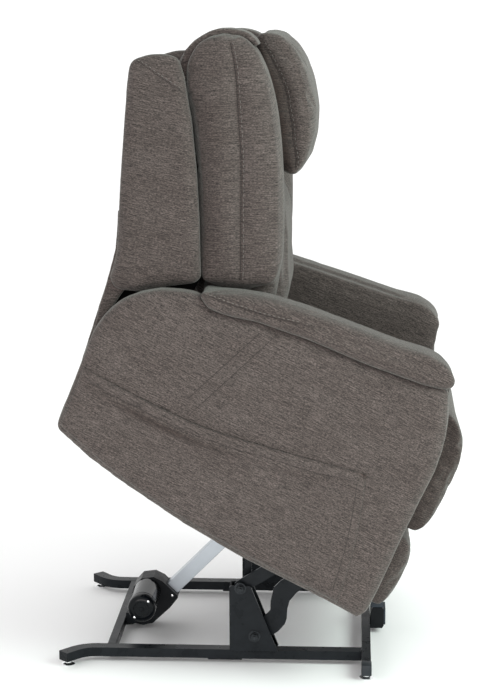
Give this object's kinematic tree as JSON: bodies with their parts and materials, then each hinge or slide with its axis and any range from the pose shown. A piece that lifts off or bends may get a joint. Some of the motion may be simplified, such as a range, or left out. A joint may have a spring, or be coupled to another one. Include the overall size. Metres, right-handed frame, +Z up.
{
  "type": "lift recliner chair",
  "caption": "Upholstered recliner on a powered steel lift base, shown raised and tipped forward, with wings, side bolsters, padded arms, legrest and tilting headrest.",
  "frame": {"origin": "on the floor, at the middle of the bounding box", "axes": "+Z up, +X to the chair's front, +Y to the sitter's left"},
  "size_m": [0.9246, 0.84, 1.4529],
  "materials": {
    "upholstery": "woven chenille",
    "black_steel": "satin powder coat",
    "aluminium": "satin extruded",
    "chrome": "polished",
    "black_plastic": "fine textured",
    "plywood": "raw"
  },
  "bodies": {
    "base": {"base_rail_right": "black_steel", "base_rail_left": "black_steel", "rear_crossbar": "black_steel", "front_crossbar": "black_steel", "glide_front_right": "chrome", "glide_front_left": "chrome", "glide_rear_right": "chrome", "glide_rear_left": "chrome", "lift_bracket_right": "black_steel", "lift_bracket_left": "black_steel", "upper_pivot_bolt_right": "black_steel", "upper_pivot_bolt_left": "black_steel", "lower_pivot_bolt_right": "black_steel", "lower_pivot_bolt_left": "black_steel", "motor_clevis": "black_steel", "front_stop": "black_plastic"},
    "lower_lift_links": {"lower_lift_link_right": "black_steel", "lower_lift_link_left": "black_steel"},
    "upper_lift_links": {"upper_lift_link_right": "black_steel", "upper_lift_link_left": "black_steel"},
    "lift_actuator": {"lift_gear_housing": "black_plastic", "lift_motor": "black_plastic", "lift_outer_tube": "aluminium"},
    "lift_rod": {"lift_rod": "chrome"},
    "chair": {"mechanism_plate_right": "black_steel", "mechanism_plate_left": "black_steel", "lift_cross_tube": "black_steel", "seat_front_rail": "plywood", "seat_rear_rail": "plywood", "spring_deck": "plywood", "seat_cushion": "upholstery", "control_box": "black_plastic", "arm_outer_panel_right": "upholstery", "arm_outer_panel_left": "upholstery", "arm_inner_panel_right": "upholstery", "arm_inner_panel_left": "upholstery", "arm_pad_right": "upholstery", "arm_pad_left": "upholstery", "side_pocket": "upholstery"},
    "legrest": {"legrest_board": "plywood", "legrest_upper_pad": "upholstery", "legrest_lower_pad": "upholstery"},
    "legrest_rear_links": {"legrest_rear_link_right": "black_steel", "legrest_rear_link_left": "black_steel"},
    "legrest_front_links": {"legrest_front_link_right": "black_steel", "legrest_front_link_left": "black_steel"},
    "legrest_actuator": {"legrest_actuator_body": "black_plastic"},
    "legrest_rod": {"legrest_actuator_rod": "chrome"},
    "back": {"back_frame": "plywood", "back_wing_right": "upholstery", "back_wing_left": "upholstery", "back_bolster_right": "upholstery", "back_bolster_left": "upholstery", "lumbar_cushion": "upholstery", "back_top_roll": "upholstery", "rear_cover": "upholstery"},
    "recline_actuator": {"recline_actuator_body": "black_plastic"},
    "recline_rod": {"recline_actuator_rod": "chrome"},
    "headrest": {"headrest_board": "plywood", "headrest_pillow": "upholstery"}
  },
  "joints": [
    {"name": "lift", "type": "hinge", "parent": "base", "child": "lower_lift_links", "pos_m": [-0.0095, 0, 0.071], "axis": [0, 1, 0], "range_deg": [0, 43.33]},
    {"name": "chair_on_lower_links", "type": "hinge", "parent": "lower_lift_links", "child": "chair", "pos_m": [0.15747, 0, 0.24086], "axis": [0, 1, 0], "range_deg": [-70.38, 0]},
    {"name": "upper_link_swing", "type": "hinge", "parent": "base", "child": "upper_lift_links", "pos_m": [-0.0415, 0, 0.187], "axis": [0, 1, 0], "range_deg": [0, 39.74]},
    {"name": "lift_actuator_swing", "type": "hinge", "parent": "base", "child": "lift_actuator", "pos_m": [-0.3195, 0, 0.03], "axis": [0, 1, 0], "range_deg": [0, 19.74]},
    {"name": "lift_rod_slide", "type": "slide", "parent": "lift_actuator", "child": "lift_rod", "axis": [0.7071, 0, 0.7071], "range_m": [-0.1174, 0]},
    {"name": "legrest", "type": "hinge", "parent": "chair", "child": "legrest", "pos_m": [0.39043, 0, 0.58793], "axis": [0, -1, 0], "range_deg": [0, 85]},
    {"name": "legrest_rear_link_swing", "type": "hinge", "parent": "chair", "child": "legrest_rear_links", "pos_m": [0.24399, 0, 0.44369], "axis": [0, -1, 0], "range_deg": [0, 141.91]},
    {"name": "legrest_front_link_swing", "type": "hinge", "parent": "legrest", "child": "legrest_front_links", "pos_m": [0.24759, 0, 0.32962], "axis": [0, -1, 0], "range_deg": [-56.54, 0]},
    {"name": "legrest_actuator_swing", "type": "hinge", "parent": "chair", "child": "legrest_actuator", "pos_m": [-0.07711, 0, 0.56241], "axis": [0, -1, 0], "range_deg": [0, 8.66]},
    {"name": "legrest_rod_slide", "type": "slide", "parent": "legrest_actuator", "child": "legrest_rod", "axis": [0.8757, 0, -0.4829], "range_m": [0, 0.1222]},
    {"name": "recline", "type": "hinge", "parent": "chair", "child": "back", "pos_m": [-0.19613, 0, 0.7914], "axis": [0, -1, 0], "range_deg": [0, 50]},
    {"name": "recline_actuator_swing", "type": "hinge", "parent": "chair", "child": "recline_actuator", "pos_m": [0.0768, 0, 0.51204], "axis": [0, -1, 0], "range_deg": [-8.49, 0]},
    {"name": "recline_rod_slide", "type": "slide", "parent": "recline_actuator", "child": "recline_rod", "axis": [-0.8719, 0, 0.4897], "range_m": [-0.08, 0]},
    {"name": "headrest_tilt", "type": "hinge", "parent": "back", "child": "headrest", "pos_m": [0.00388, 0, 1.21698], "axis": [0, 1, 0], "range_deg": [0, 25]}
  ],
  "couplings": [
    {"joint": "chair_on_lower_links", "follows": "lift", "ratio": -1.6232},
    {"joint": "upper_link_swing", "follows": "lift", "ratio": 0.91598},
    {"joint": "lift_actuator_swing", "follows": "lift", "ratio": 0.45439},
    {"joint": "lift_rod_slide", "follows": "lift", "m_per_rad": -0.15454},
    {"joint": "legrest_rear_link_swing", "follows": "legrest", "ratio": 1.6689},
    {"joint": "legrest_front_link_swing", "follows": "legrest", "ratio": -0.66455},
    {"joint": "legrest_actuator_swing", "follows": "legrest", "ratio": 0.10128},
    {"joint": "legrest_rod_slide", "follows": "legrest", "m_per_rad": 0.082029},
    {"joint": "recline_actuator_swing", "follows": "recline", "ratio": -0.16874},
    {"joint": "recline_rod_slide", "follows": "recline", "m_per_rad": -0.09105}
  ]
}
